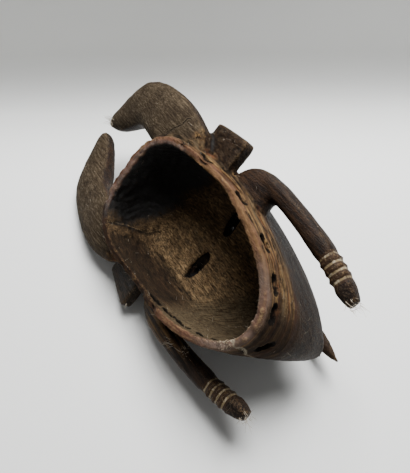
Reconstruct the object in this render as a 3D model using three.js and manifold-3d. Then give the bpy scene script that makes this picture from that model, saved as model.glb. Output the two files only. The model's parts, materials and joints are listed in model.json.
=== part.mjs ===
// A face mask of the kpelie kind, carved from one block of wood, hollow behind.
// Millimetres. The mask is carved upright in its own frame: X to the right as seen from
// the hollow back, Y up towards the horns, Z backwards out of the hollow. Y is 0 at the
// middle of the side flanges, and Z is 0 at the flat parts of the rim's edge.
// It is then laid down on the three points on which it rests by its own weight, rolled on
// its side with the hollow turned up, and +Y still runs along it towards the horns.
import * as THREE from 'three';
import { mergeVertices } from 'three/addons/utils/BufferGeometryUtils.js';
import { ConvexHull } from 'three/addons/math/ConvexHull.js';
import Module from 'manifold-3d';

// The hollow's mouth and the rim round it
const widestY = -27;
const mouthHalfWidth = 56;
const mouthRise = 82;
const mouthDrop = 112;
const topSquareness = 3.2;
const chinSquareness = 2.1;
const jawSquareness = 1.62;
const rimWidth = 6.5;
const rimDip = 7;
const dipMiddleY = -32;
const dipReach = 50;

// The shell: how far it swells past the rim, where it is widest, and how deep it is
const sideSwell = 5;
const topSwell = 2;
const chinSwell = 21.5;
const sideDepth = 42;
const topDepth = 24;
const chinDepth = 85;
const faceDepth = 75;
const chinForward = 15;
const frontSquareness = 2.4;
const wall = 10;
const cavitySwell = 3;
const cavityOverrun = 30;

// The horns, as shares of their reach to the side and of their height above the flanges
const hornReach = 87.5;
const hornHeight = 160;
const hornThickness = 20;
const hornBelly = 1.7;
const hornRootZ = -17;
const hornBendY = 62;
const hornLean = 0.235;

// The side flanges
const flangeReach = 95.5;
const flangeTaper = 5;
const flangeHeight = 50;
const flangeY = 0;
const flangeThickness = 12;
const flangeBevel = 2;
const flangeZ = -29.5;
const flangeLean = 0.245;
const flangeRound = 4;

// The legs beside the chin, with their collars and grooves
const rightLegReach = 89.5;
const leftLegReach = 86.5;
const legTop = -26;
const legRootHeight = 46;
const legThickness = 19;
const legWidth = 16.5;
const legTipY = -173;
const legTipX = 61;
const legRootZ = -32;
const legTipZ = -36.5;
const legBow = 3;
const legSlant = 0.2;
const grooveCount = 4;
const firstGrooveY = -136;
const groovePitch = 6.4;
const grooveDepth = 1.3;
const collarHeight = 0.7;

// The beak that hangs free in front of the mouth
const beakTopY = -24;
const beakTipY = -174;
const beakTipZ = -110;
const beakCrest = 131;
const beakWidth = 22;
const beakThickness = 15;

// The eyes, brows, mouth and raised scars of the front
const eyeMiddleX = 27;
const eyeY = -31;
const eyeLength = 30;
const eyeOpening = 3.6;
const eyeSplay = 9.5;
const browRelief = 5;
const lidRelief = 3.5;
const mouthY = -121;
const mouthWidth = 40;
const lipRelief = 4.5;
const scarCount = 3;
const scarX = 21;
const scarY = -64;
const scarSpacing = 6;
const scarLength = 24;
const scarRelief = 1.8;
const crestHeight = 46;

// The slots cut through behind the rim for the costume's cords
const slotLength = 15;
const slotHeight = 5.4;
const slotZ = -11;
const rightSlotDegrees = [97, 76, 53, 32, 16];
const leftSlotDegrees = [77, 67, 57, 42, 30];
const chinSlotDegrees = -4;
const chinSlotZ = -20;
const chinSlotSlant = -0.35;

// The roll at which the mask rests, on its left side with the hollow up
const restRollDegrees = 44;

const wasm = await Module();
wasm.setup();

const BACKWARDS = new THREE.Vector3(0, 0, 1);
const clamp = THREE.MathUtils.clamp;
const lerp = THREE.MathUtils.lerp;
const smooth = THREE.MathUtils.smoothstep;

// A power that keeps the sign, with what rounding leaves of a zero taken as zero
function signedPower(value, power) {
  return Math.abs(value) < 1e-9 ? 0 : Math.sign(value) * Math.abs(value) ** power;
}

// Merges a geometry's vertices so that it is one closed surface
function closed(geometry) {
  geometry.deleteAttribute('normal');
  geometry.deleteAttribute('uv');
  return mergeVertices(geometry, 1e-4);
}

function toSolid(geometry) {
  const vertProperties = new Float32Array(geometry.getAttribute('position').array);
  const triVerts = new Uint32Array(geometry.getIndex().array);
  return new wasm.Manifold(new wasm.Mesh({ numProp: 3, vertProperties, triVerts }));
}

function toGeometry(solid) {
  const mesh = solid.getMesh();
  const geometry = new THREE.BufferGeometry();
  geometry.setAttribute('position', new THREE.BufferAttribute(mesh.vertProperties, 3));
  geometry.setIndex(new THREE.BufferAttribute(mesh.triVerts, 1));
  return geometry;
}

// A closed form with the grid of a sphere. place(turn, down) gives the point at a turn
// about Z, from the chin towards +X, and a way down from the back pole to the front pole.
function globe(around, rows, place) {
  const geometry = new THREE.SphereGeometry(1, around, rows);
  const position = geometry.getAttribute('position');
  for (let row = 0; row <= rows; row++) {
    for (let column = 0; column <= around; column++) {
      const turn = (column % around) / around * 2 * Math.PI;
      const point = place(turn, row / rows);
      position.setXYZ(row * (around + 1) + column, point.x, point.y, point.z);
    }
  }
  return closed(geometry);
}

// A closed form carried along a curve. Each station gives its middle, its half width across
// the way it runs, and its half thickness along "thick".
function limb(stations, thick, around, steps, squareness = 2.4) {
  const curve = (pick) => new THREE.CatmullRomCurve3(stations.map(pick));
  const spine = curve((row) => new THREE.Vector3(row[0], row[1], row[2]));
  const sizes = curve((row) => new THREE.Vector3(row[3], row[4], 0));
  return swept(around, steps, squareness, 1, (along) => {
    const across = spine.getTangent(along).cross(thick).normalize();
    const depth = across.clone().cross(spine.getTangent(along)).normalize();
    const size = sizes.getPoint(along);
    return {
      middle: spine.getPoint(along),
      across: across.multiplyScalar(Math.max(size.x, 0.05)),
      depth: depth.multiplyScalar(Math.max(size.y, 0.05)),
    };
  });
}

// A closed form between two edge curves. Each station gives a point of the edge on the
// right of the way it runs, a point of the other edge, their Z and the half thickness.
function plank(stations, thick, around, steps, squareness = 2.4, belly = 1) {
  const curve = (i, j) => new THREE.CatmullRomCurve3(
    stations.map((row) => new THREE.Vector3(row[i], row[j], row[4])),
  );
  const right = curve(0, 1);
  const left = curve(2, 3);
  const halves = new THREE.CatmullRomCurve3(stations.map((row) => new THREE.Vector3(row[5], 0, 0)));
  return swept(around, steps, squareness, belly, (along) => {
    const edge = right.getPoint(along);
    const middle = edge.clone().add(left.getPoint(along)).multiplyScalar(0.5);
    return {
      middle,
      across: edge.sub(middle),
      depth: thick.clone().normalize().multiplyScalar(halves.getPoint(along).x),
    };
  });
}

// The grid of a cylinder, laid round a way. frame(along) gives the section's middle and
// its half sides across and in depth. "belly" is how many times as far its front stands out
// from the middle as its back.
function swept(around, steps, squareness, belly, frame) {
  const geometry = new THREE.CylinderGeometry(1, 1, 1, around, steps);
  const position = geometry.getAttribute('position');
  for (let i = 0; i < position.count; i++) {
    const { middle, across, depth } = frame(clamp(position.getY(i) + 0.5, 0, 1));
    middle.addScaledVector(across, signedPower(position.getX(i), 2 / squareness));
    const deep = signedPower(position.getZ(i), 2 / squareness);
    middle.addScaledVector(depth, deep < 0 ? deep * belly : deep);
    position.setXYZ(i, middle.x, middle.y, middle.z);
  }
  return closed(geometry);
}

// The same form on the other side of the mask
function mirrored(geometry) {
  const other = geometry.clone();
  other.scale(-1, 1, 1);
  const index = other.getIndex();
  for (let i = 0; i < index.count; i += 3) {
    const second = index.getX(i + 1);
    index.setX(i + 1, index.getX(i + 2));
    index.setX(i + 2, second);
  }
  return other;
}

// A form carved alike on both sides
function both(geometry) {
  return toSolid(geometry).add(toSolid(mirrored(geometry)));
}

function unite(solids) {
  return solids.reduce((whole, solid) => whole.add(solid));
}

// A point of the oval, at a turn from the chin towards +X. Its lower half narrows to a
// pointed jaw as the shell goes from the mouth's edge, jaw 0, to its widest line, jaw 1.
function ovalPoint(turn, halfWidth, rise, drop, jaw = 0) {
  const side = Math.sin(turn);
  const height = -Math.cos(turn);
  const power = 2 / (height > 0 ? topSquareness : lerp(chinSquareness, jawSquareness, jaw));
  const reach = height > 0 ? rise : drop;
  return new THREE.Vector2(
    halfWidth * signedPower(side, power),
    widestY + reach * signedPower(height, power),
  );
}

// How far the rim's edge lies below the flat parts at a height
function rimZ(y) {
  const off = Math.abs(y - dipMiddleY) / dipReach;
  return off < 1 ? -rimDip * 0.5 * (1 + Math.cos(Math.PI * off)) : 0;
}

// The depth at which the shell is widest, by how steep the direction from the middle is
function widestDepth(rise) {
  const other = rise > 0 ? topDepth : chinDepth;
  return lerp(sideDepth, other, rise * rise);
}

const shellHalfWidth = mouthHalfWidth + rimWidth + sideSwell;
const shellRise = mouthRise + rimWidth + topSwell;
const shellDrop = mouthDrop + rimWidth + chinSwell;

// The depth of the front at its deepest, which grows towards the chin
function deepest(y) {
  return faceDepth + chinForward * smooth(widestY - y, 0, shellDrop * 0.8);
}

// How far from the middle to the outline a point of the front lies, and how steeply
function share(x, y, halfWidth, rise, drop) {
  const up = y > widestY;
  const power = up ? topSquareness : jawSquareness;
  const height = (y - widestY) / (up ? rise : drop);
  const out = (Math.abs(x / halfWidth) ** power + Math.abs(height) ** power) ** (1 / power);
  return { out: Math.min(out, 1), steep: out > 0 ? clamp(height / out, -1, 1) : 0 };
}

function domeZ(x, y, halfWidth, rise, drop, inset) {
  const { out, steep } = share(x, y, halfWidth, rise, drop);
  const start = widestDepth(steep);
  const crown = (1 - out ** frontSquareness) ** (1 / frontSquareness);
  return -(start + (deepest(y) - inset - start) * crown);
}

const frontZ = (x, y) => domeZ(x, y, shellHalfWidth, shellRise, shellDrop, 0);

// The outer form: a flat back, a wall that swells to the widest line, and the domed front
function shell() {
  const backRows = 2;
  const wallRows = 4;
  const rows = 17;
  return globe(48, rows, (turn, down) => {
    const row = Math.round(down * rows);
    const edge = ovalPoint(
      turn,
      mouthHalfWidth + rimWidth,
      mouthRise + rimWidth,
      mouthDrop + rimWidth,
    );
    if (row <= backRows) {
      const out = row === 0 ? 0 : lerp(0.75, 1, row - 1);
      const y = lerp(widestY, edge.y, out);
      return new THREE.Vector3(edge.x * out, y, rimZ(y));
    }
    if (row <= backRows + wallRows) {
      const way = (row - backRows) / wallRows;
      const swell = Math.sin(way * Math.PI / 2);
      const at = ovalPoint(
        turn,
        mouthHalfWidth + rimWidth + sideSwell * swell,
        mouthRise + rimWidth + topSwell * swell,
        mouthDrop + rimWidth + chinSwell * swell,
        swell,
      );
      const { steep } = share(at.x, at.y, shellHalfWidth, shellRise, shellDrop);
      return new THREE.Vector3(at.x, at.y, lerp(rimZ(edge.y), -widestDepth(steep), way));
    }
    const left = (rows - row) / (rows - backRows - wallRows);
    const out = Math.sin(left * Math.PI / 2);
    const full = ovalPoint(turn, shellHalfWidth, shellRise, shellDrop, 1);
    const y = lerp(widestY, full.y, out);
    return new THREE.Vector3(full.x * out, y, frontZ(full.x * out, y));
  });
}

// The hollow, with a wall's thickness left all round it
function cavity() {
  const wallRows = 3;
  const rows = 11;
  return globe(36, rows, (turn, down) => {
    const row = Math.round(down * rows);
    if (row === 0) {
      return new THREE.Vector3(0, widestY, cavityOverrun);
    }
    const full = ovalPoint(
      turn,
      mouthHalfWidth + cavitySwell,
      mouthRise - wall * 0.4,
      mouthDrop + wall * 0.5,
      1,
    );
    const { steep } = share(full.x, full.y, shellHalfWidth, shellRise, shellDrop);
    const start = -(widestDepth(steep) - wall);
    if (row <= wallRows) {
      const way = (row - 1) / (wallRows - 1);
      const edge = ovalPoint(turn, mouthHalfWidth, mouthRise, mouthDrop);
      const z = lerp(cavityOverrun, start, way);
      const swell = clamp(z / start, 0, 1);
      return new THREE.Vector3(lerp(edge.x, full.x, swell), lerp(edge.y, full.y, swell), z);
    }
    const left = (rows - row) / (rows - wallRows);
    const out = Math.sin(left * Math.PI / 2);
    const x = full.x * out;
    const y = lerp(widestY, full.y, out);
    const crown = (1 - out ** frontSquareness) ** (1 / frontSquareness);
    return new THREE.Vector3(x, y, lerp(start, -(deepest(y) - wall), crown));
  });
}

// A broad horn, from inside the forehead out to the side, up, and in to the middle line.
// Its stations are shares of its reach and height: the outer edge, the inner edge, and
// the share of the full thickness.
function horn() {
  const stations = [
    [0.7, 0.03, 0.34, 0.14, 0.8],
    [0.87, 0.1, 0.37, 0.22, 0.9],
    [0.935, 0.18, 0.39, 0.31, 1],
    [0.985, 0.29, 0.4, 0.4, 1],
    [1, 0.41, 0.41, 0.48, 1],
    [0.985, 0.54, 0.41, 0.56, 1],
    [0.95, 0.65, 0.395, 0.63, 1.05],
    [0.83, 0.81, 0.34, 0.69, 1.05],
    [0.635, 0.895, 0.26, 0.75, 0.9],
    [0.36, 0.955, 0.14, 0.83, 0.7],
    [0.13, 1, 0.07, 0.905, 0.5],
    [0.06, 0.985, 0.05, 0.945, 0.25],
  ];
  const half = hornThickness / 2;
  const placed = stations.map(([outerX, outerY, innerX, innerY, thick]) => {
    const middleY = (outerY + innerY) / 2 * hornHeight;
    const z = hornRootZ - hornLean * Math.max(middleY - hornBendY, 0);
    return [
      outerX * hornReach, outerY * hornHeight,
      innerX * hornReach, innerY * hornHeight,
      z, thick * half,
    ];
  });
  return plank(placed, new THREE.Vector3(0, hornLean, 1), 14, 17, 2.6, hornBelly);
}

// A square flange at the temple, leaning as the horns do
function flange() {
  const outline = new THREE.Shape();
  const root = mouthHalfWidth;
  const top = flangeY + flangeHeight / 2;
  const bottom = flangeY - flangeHeight / 2;
  const upperEnd = flangeReach - flangeTaper;
  outline.moveTo(root, bottom);
  outline.lineTo(flangeReach - flangeRound, bottom);
  outline.quadraticCurveTo(flangeReach, bottom, flangeReach, bottom + flangeRound);
  outline.lineTo(upperEnd, top - flangeRound);
  outline.quadraticCurveTo(upperEnd, top, upperEnd - flangeRound, top);
  outline.lineTo(root, top);
  const geometry = new THREE.ExtrudeGeometry(outline, {
    depth: flangeThickness - 2 * flangeBevel,
    bevelThickness: flangeBevel,
    bevelSize: flangeBevel,
    bevelOffset: -flangeBevel,
    bevelSegments: 2,
    curveSegments: 3,
  });
  geometry.translate(0, 0, -flangeThickness / 2 + flangeBevel);
  geometry.rotateX(-Math.atan(flangeLean));
  geometry.translate(0, 0, flangeZ);
  return closed(geometry);
}

// A leg: a broad root that leaves the wall and turns down into a shaft beside the chin,
// with grooves and raised collars above its tapered tip
function leg(legReach) {
  const half = legThickness / 2;
  const root = mouthHalfWidth - 8;
  const near = lerp(root, legReach, 0.35);
  const elbowY = legTop - legRootHeight;
  const halfWidth = legWidth / 2;
  const shaftTopX = legReach - 9;
  const shaftTopY = elbowY - 12;
  const stations = [
    [root, elbowY + 2, root, legTop, legRootZ, half * 1.15],
    [near, elbowY, near, legTop + 1, legRootZ, half * 1.15],
    [lerp(root, legReach, 0.58), elbowY, legReach - 14, legTop - 4, legRootZ, half * 1.1],
    [shaftTopX - halfWidth, elbowY - 3, legReach - 5, legTop - 12, legRootZ, half],
    [shaftTopX - halfWidth, elbowY - 6, legReach, legTop - 27, legRootZ, half],
  ];
  const shaft = (y, width, thick) => {
    const way = (shaftTopY - y) / (shaftTopY - legTipY);
    const x = lerp(shaftTopX, legTipX, way) + legBow * Math.sin(Math.PI * clamp(way, 0, 1));
    const slant = width * legSlant;
    const z = lerp(legRootZ, legTipZ, way);
    stations.push([x - width, y + slant, x + width, y - slant, z, thick]);
  };
  shaft(shaftTopY - 6, halfWidth, half);
  shaft(lerp(shaftTopY, firstGrooveY, 0.5), halfWidth, half * 0.95);
  for (let i = 0; i < grooveCount; i++) {
    const y = firstGrooveY - i * groovePitch;
    if (i === 0) {
      shaft(y + groovePitch * 0.5, halfWidth, half * 0.95);
    }
    shaft(y, halfWidth - grooveDepth, half * 0.95 - grooveDepth);
    const collar = i < grooveCount - 1 ? collarHeight : 0;
    shaft(y - groovePitch * 0.5, halfWidth + collar, half * 0.95 + collar);
  }
  shaft(legTipY + 7, halfWidth * 0.85, half * 0.8);
  shaft(legTipY + 1, halfWidth * 0.62, half * 0.6);
  shaft(legTipY, halfWidth * 0.5, half * 0.45);
  return plank(stations, BACKWARDS, 12, 32, 2.8);
}

// The long straight nose that rises into a beak, which hangs free in front of the mouth.
// Each row gives the way down it, how far its front line has risen from the face to the
// crest, or from the tip to the crest below it, its share of the width, and its half depth.
function beak() {
  const half = beakThickness / 2;
  const length = beakTopY - beakTipY;
  const nose = [
    [0, 0.06, 0.35, 5], [0.12, 0.41, 0.55, 12], [0.23, 0.73, 0.8, 19], [0.34, 1, 1, 25],
  ];
  const bill = [
    [0.42, 0.97, 1, 16], [0.5, 0.87, 0.97, half * 1.1], [0.6, 0.72, 0.9, half * 0.95],
    [0.74, 0.5, 0.8, half * 0.8], [0.88, 0.24, 0.58, half * 0.58], [0.96, 0.06, 0.3, half * 0.3],
    [1, 0, 0.08, half * 0.1],
  ];
  const place = (rows, from) => rows.map(([way, risen, width, thick]) => {
    const front = lerp(from, beakCrest, risen);
    return [0, beakTopY - way * length, thick - front, width * beakWidth / 2, thick];
  });
  return limb([...place(nose, faceDepth), ...place(bill, -beakTipZ)], BACKWARDS, 10, 20, 2);
}

// A raised band laid over the front. Each station is a point of the front and a half width.
function ridge(points, relief, around = 8, steps = 7) {
  const stations = points.map(([x, y, half]) => [x, y, frontZ(x, y), half, relief]);
  return limb(stations, BACKWARDS, around, steps, 2);
}

// A brow that springs from the nose and arches over the eye
function brow() {
  const top = eyeY + 20;
  return ridge([
    [4, eyeY + 8, 2], [eyeMiddleX * 0.6, top - 2, 3.4], [eyeMiddleX * 1.2, top, 3.4],
    [eyeMiddleX * 1.75, top - 9, 2.8], [eyeMiddleX * 2, top - 20, 1],
  ], browRelief);
}

// A heavy lid all round the eye's slit
function lid() {
  const reach = eyeLength / 2 + 4;
  const half = eyeOpening / 2 + 5;
  return ridge([
    [eyeMiddleX - reach, eyeY - 2, 1], [eyeMiddleX - reach * 0.5, eyeY, half * 0.85],
    [eyeMiddleX, eyeY + 1, half], [eyeMiddleX + reach * 0.5, eyeY, half * 0.85],
    [eyeMiddleX + reach, eyeY - 2, 1],
  ], lidRelief);
}

// The cut that opens the eye. It goes right through the front, and its inner half is wider.
function eyeCut(opening, frontEnd) {
  const half = eyeLength / 2;
  const back = -faceDepth / 2;
  const middle = (back + frontEnd) / 2;
  const rows = [[-1, -1, 0.3], [-0.7, 0, 0.46], [0, 0.5, 0.5], [0.7, 0, 0.44], [1, -1, 0.25]];
  const stations = rows.map(([way, rise, part]) => [
    eyeMiddleX + way * half, eyeY + rise, middle, opening * part, back - middle,
  ]);
  return limb(stations, BACKWARDS, 8, 6, 8);
}

// Small parted lips behind the beak, turned to the slope of the chin
function lips() {
  const ring = new THREE.TorusGeometry(mouthWidth / 2 - lipRelief, lipRelief, 6, 16);
  const slope = (frontZ(0, mouthY + 2) - frontZ(0, mouthY - 2)) / 4;
  ring.scale(1, 0.55, 1.3);
  ring.rotateX(Math.atan(slope));
  ring.translate(0, mouthY, frontZ(0, mouthY));
  return closed(ring);
}

// Raised scars that fan over the cheek
function scars() {
  return Array.from({ length: scarCount }, (_, i) => {
    const slope = ((scarCount - 1) / 2 - i) * 0.4 - 0.25;
    const start = new THREE.Vector2(scarX, scarY - i * scarSpacing);
    const way = new THREE.Vector2(1, slope).normalize().multiplyScalar(scarLength);
    const points = [0, 0.25, 0.75, 1].map((part) => {
      const at = start.clone().addScaledVector(way, part);
      return [at.x, at.y, part % 1 === 0 ? 0.8 : 1.9];
    });
    return ridge(points, scarRelief, 6, 4);
  });
}

// The crest that runs down the forehead, with a lozenge in it
function crest() {
  const bottom = eyeY + 21;
  const at = (part) => lerp(bottom, bottom + crestHeight, part);
  return ridge([
    [0, at(0), 1], [0, at(0.25), 3], [0, at(0.5), 8], [0, at(0.75), 3], [0, at(1), 1],
  ], browRelief * 0.8, 8, 8);
}

// A slot along the rim, cut through the wall at so many degrees from the chin
function slot(degrees, z = slotZ, slant = 0) {
  const turn = THREE.MathUtils.degToRad(degrees);
  const middle = wall / 2;
  const at = (t) => ovalPoint(t, mouthHalfWidth + middle, mouthRise + middle, mouthDrop + middle);
  const here = at(turn);
  const step = 0.02;
  const way = at(turn + step).sub(at(turn - step)).normalize();
  const along = new THREE.Vector3(way.x, way.y, slant).normalize();
  const stations = [-0.5, -0.3, 0.3, 0.5].map((part) => {
    const point = new THREE.Vector3(here.x, here.y, z).addScaledVector(along, part * slotLength);
    const half = slotHeight / 2 * (Math.abs(part) < 0.5 ? 1 : 0.45);
    return [...point.toArray(), wall * 1.3, half];
  });
  return limb(stations, BACKWARDS, 8, 3, 3);
}

function slots() {
  return [
    ...rightSlotDegrees.map((degrees) => slot(degrees)),
    ...leftSlotDegrees.map((degrees) => slot(-degrees)),
    slot(chinSlotDegrees, chinSlotZ, chinSlotSlant),
  ];
}

function carve() {
  const added = [
    both(horn()), both(flange()), toSolid(leg(rightLegReach)), toSolid(mirrored(leg(leftLegReach))),
    toSolid(beak()), both(brow()), both(lid()), toSolid(lips()), toSolid(crest()),
    ...scars().map(both),
  ];
  const cut = [
    toSolid(cavity()),
    both(eyeCut(eyeOpening, -1.5 * faceDepth)),
    both(eyeCut(eyeOpening + eyeSplay, frontZ(eyeMiddleX, eyeY) + wall / 2)),
    ...slots().map(toSolid),
  ];
  return cut.reduce((whole, tool) => whole.subtract(tool), toSolid(shell()).add(unite(added)));
}

// The middle of the wood's weight
function balancePoint(points, index) {
  const sum = new THREE.Vector3();
  let volume = 0;
  for (let i = 0; i < index.count; i += 3) {
    const [a, b, c] = [0, 1, 2].map((corner) => points[index.getX(i + corner)]);
    const part = a.dot(b.clone().cross(c)) / 6;
    volume += part;
    sum.addScaledVector(a.clone().add(b).add(c), part / 4);
  }
  return sum.divideScalar(volume);
}

// The turn that lays the mask down. Of the faces of its hull over which its weight stays
// put, it lies on the one that is nearest to the expected roll.
function restTurn(points, index) {
  const roll = THREE.MathUtils.degToRad(restRollDegrees);
  const expected = new THREE.Vector3(-Math.sin(roll), 0, -Math.cos(roll));
  const balance = balancePoint(points, index);
  let down = expected;
  let best = -Infinity;
  for (const face of new ConvexHull().setFromPoints(points).faces) {
    const edges = [face.edge, face.edge.next, face.edge.next.next];
    const under = new THREE.Triangle(...edges.map((edge) => edge.head().point));
    const plane = under.getPlane(new THREE.Plane());
    const near = face.normal.dot(expected);
    if (near > best && under.containsPoint(plane.projectPoint(balance, new THREE.Vector3()))) {
      best = near;
      down = face.normal;
    }
  }
  const up = down.clone().negate();
  const along = new THREE.Vector3(0, 1, 0).projectOnPlane(up).normalize();
  const across = along.clone().cross(up);
  return new THREE.Matrix4().makeBasis(across, along, up).invert();
}

const mask = new THREE.Mesh(
  toGeometry(carve()),
  new THREE.MeshStandardMaterial({ color: '#4a3d31', roughness: 0.75, metalness: 0 }),
);
mask.name = 'mask';

// Laid down, with the origin at the bottom of its box and in the middle of it
const position = mask.geometry.getAttribute('position');
const points = Array.from(
  { length: position.count },
  (_, i) => new THREE.Vector3().fromBufferAttribute(position, i),
);
const turn = restTurn(points, mask.geometry.getIndex());
const box = new THREE.Box3().setFromPoints(points.map((point) => point.clone().applyMatrix4(turn)));
const middle = box.getCenter(new THREE.Vector3());
mask.quaternion.setFromRotationMatrix(turn);
mask.position.set(-middle.x, -middle.y, -box.min.z);

const group = new THREE.Group();
group.add(mask);
export default group;
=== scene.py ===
"""An old carved face mask with horns, lying on its side on a pale floor, hollow up.

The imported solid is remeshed, its facets are carved smooth, and tool marks, wear and patina
are laid on it. Sizes are millimetres in the mask's own upright frame: X is right as seen
from the hollow back, Y is up towards the horns, and Z points out of the hollow. The rim's
edge is at Z 0 and the middle of the side flanges at Y 0.
"""

import json
import math
import random

import bmesh
import bpy
import numpy as np
from bpy.props import FloatProperty, FloatVectorProperty, IntProperty, PointerProperty
from mathutils import Matrix, Vector, kdtree, noise


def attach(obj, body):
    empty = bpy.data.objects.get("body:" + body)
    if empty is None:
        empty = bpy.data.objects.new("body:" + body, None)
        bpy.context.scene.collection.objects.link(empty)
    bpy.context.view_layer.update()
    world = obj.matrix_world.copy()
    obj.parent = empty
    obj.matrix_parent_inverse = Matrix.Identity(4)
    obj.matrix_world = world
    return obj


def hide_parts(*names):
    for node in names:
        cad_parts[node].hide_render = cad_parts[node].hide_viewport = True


bl_info = {
    "name": "Carved face mask",
    "version": (1, 0, 0),
    "blender": (4, 5, 0),
    "location": "View3D > Sidebar > Mask",
    "description": "Carves and patinates a horned wooden face mask that lies on its side",
    "category": "Object",
}

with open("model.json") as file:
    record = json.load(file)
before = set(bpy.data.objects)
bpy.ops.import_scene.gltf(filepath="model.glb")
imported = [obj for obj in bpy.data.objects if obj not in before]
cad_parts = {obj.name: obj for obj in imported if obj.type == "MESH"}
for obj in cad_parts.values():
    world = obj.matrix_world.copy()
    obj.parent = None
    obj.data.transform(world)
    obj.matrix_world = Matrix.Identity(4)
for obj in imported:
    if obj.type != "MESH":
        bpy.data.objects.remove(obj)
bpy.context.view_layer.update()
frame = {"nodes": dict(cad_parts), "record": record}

MM = 0.001
SOLID = "mask"

# The mouth of the hollow, the rim round it, and the shell
WIDEST_Y = -27.0
MOUTH_HALF_WIDTH = 56.0
MOUTH_RISE = 82.0
MOUTH_DROP = 112.0
RIM_WIDTH = 6.5
# How far the record's mount at the chin lies inwards from the middle of the rim
MOUNT_INSET = 0.05
RIM_DIP = 7.0
DIP_MIDDLE_Y = -32.0
DIP_REACH = 50.0
SIDE_DEPTH = 42.0
TOP_DEPTH = 24.0
CHIN_DEPTH = 85.0
FACE_DEPTH = 75.0
CHIN_FORWARD = 15.0
SHELL_DROP = 140.0
WALL = 10.0
# How far the middle of the wall and the outside reach from the mouth's middle at their widest,
# and how far they swell past their outline at the rim: to the side, up and down
MID_WALL_REACH = (63.2, 84.2, 128.5)
MID_WALL_SWELL = (4.0, -1.0, 13.0)
SHELL_REACH = (67.5, 90.5, SHELL_DROP)
SHELL_SWELL = (5.0, 2.0, 21.5)
# How square the outlines are: 2 is an ellipse
FRONT_POWER = 2.4
TOP_POWER = 3.2
CHIN_POWER = 2.1
JAW_POWER = 1.62

# The limbs that stand out from the shell
FLANGE_HALF_HEIGHT = 25.5
FLANGE_ROOT_X = 62.0
FLANGE_BACK_Z = -16.0
# The heights and depths between which what stands off the shell becomes a horn or a leg
HORN_HEIGHTS = (20.0, 26.0)
HORN_DEPTHS = (-60.0, -52.0)
LEG_HEIGHTS = (-24.0, -27.0)
LEG_ROOT_X = 42.0
LEG_FRONT_Z = -52.0
GROOVE_Y = -136.0
GROOVE_PITCH = 6.4
GROOVE_COUNT = 4
LEG_SLANT = 0.2
LEG_TOP_X = 82.0
LEG_TOP_Y = -84.0
LEG_TIP_X = 61.0
LEG_TIP_Y = -173.0
LEG_BOW = 3.0
EYE_X = 27.0
EYE_Y = -31.0
EYE_HALF_WIDTH = 15.5
EYE_HALF_HEIGHT_INSIDE = 6.0
EYE_HALF_HEIGHT_OUTSIDE = 2.6
EYE_TOP_Z = -40.0

# Marks of wear, as points on the surface in the mask's frame, in mm
HORN_CRACK = ((54, 48.5, -7.4), (67.3, 40.9, -7.6), (81, 35.5, -9.7))
CHIN_CRACK = ((-15, -137, 0), (-16, -143.9, -6.1), (-25.6, -143.8, -32.7))
LEDGE = ((-46, 39.5, 0), (-43.9, 39, -23.5), (-40.8, 29.2, -45.3), (-30, 24, -58))
RIM_CHIPS = ((-61.7, -5.9, -3.1), (-61.2, -18, -5.3), (-60.8, -31, -6.6), (-61.6, -40.2, -6.2),
             (-57, -62, -4), (59, 20, -1), (61, -8, -4), (-30, 58, -1))
CHIN_LUMPS = ((12.2, -143.9, -1.3), (8.2, -144.9, -0.8), (15.6, -142.3, -0.3), (5.5, -145.5, -1.5),
              (18.5, -140.3, -0.5), (-6, -144.2, -0.5))
FLECKS = (-21.0, -136.0, 0.0)
# Tufts of torn fibre: the middle, the way they stand, how many, and how wide the tuft is. Each
# fibre leans from that way by up to TUFT_LEAN.
TUFT_LEAN = 0.6
TUFTS = (
    ((12.5, 153, -33), (-0.5, 0.5, 0.6), 44, 7),
    ((61, -172, -32), (0.2, -0.9, 0.3), 34, 9),
    ((-61, -172.5, -34), (-0.1, -0.9, 0.4), 34, 9),
    ((-74, -86.5, -24), (-0.4, 0.3, 0.8), 18, 9),
    ((-68, -102, -24), (0.5, -0.2, 0.8), 14, 8),
    ((-86, -23, -22), (-0.5, -0.8, 0.2), 10, 8),
)

# The cord slots behind the rim: degrees from the chin, Z and slant
SLOTS = [(degrees, -11.0, 0.0) for degrees in (97, 76, 53, 32, 16, -77, -67, -57, -42, -30)]
SLOTS.append((-4, -20.0, -0.35))
SLOT_LENGTH = 15.0
SLOT_HEIGHT = 5.4

# An offset, in mm, that is past the reach of every mark
FAR = 50.0
# Edges of the solid that turn by more than this many degrees stay crisp. Points stand for them
# this many mm apart.
CRISP_ANGLE = 34.0
CRISP_STEP = 1.5
# The range that most sums of noise lie in
NOISE_RANGE = (0.36, 0.64)

# Where the camera stands and looks, in the mask's frame. The frame's height and the row where
# the floor turns up are in pixels.
CAMERA_PLACE = (139.1, -277.0, 309.3)
CAMERA_AIM = (10.8, -42.0, -27.1)
CAMERA_UP = (0.745, 0.646, 0.167)
FRAME_HEIGHT = 473
FLOOR_EDGE_PIXEL = 85
SENSOR_WIDTH = 36.0


def mask_frame():
    """The matrix from the mask's frame, in mm, to the row's, in metres. The record's mount at
    the chin gives a point of the rim and the way the hollow opens, and the mask's Y has no part
    along the row's X."""
    mounts = {m["name"]: m for m in frame["record"]["mounts"]}
    out = Vector(mounts["rim_chin"]["axis"]).normalized()
    up = Vector((0, out.z, -out.y)).normalized()
    turn = Matrix((up.cross(out), up, out)).transposed()
    chin = Vector((0, WIDEST_Y - MOUTH_DROP - RIM_WIDTH / 2 + MOUNT_INSET, 0))
    place = Vector(mounts["rim_chin"]["pos_m"]) - turn @ chin * MM
    return Matrix.Translation(place) @ turn.to_4x4() @ Matrix.Scale(MM, 4)


TO_ROW = mask_frame()
TO_MASK = TO_ROW.inverted()


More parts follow.
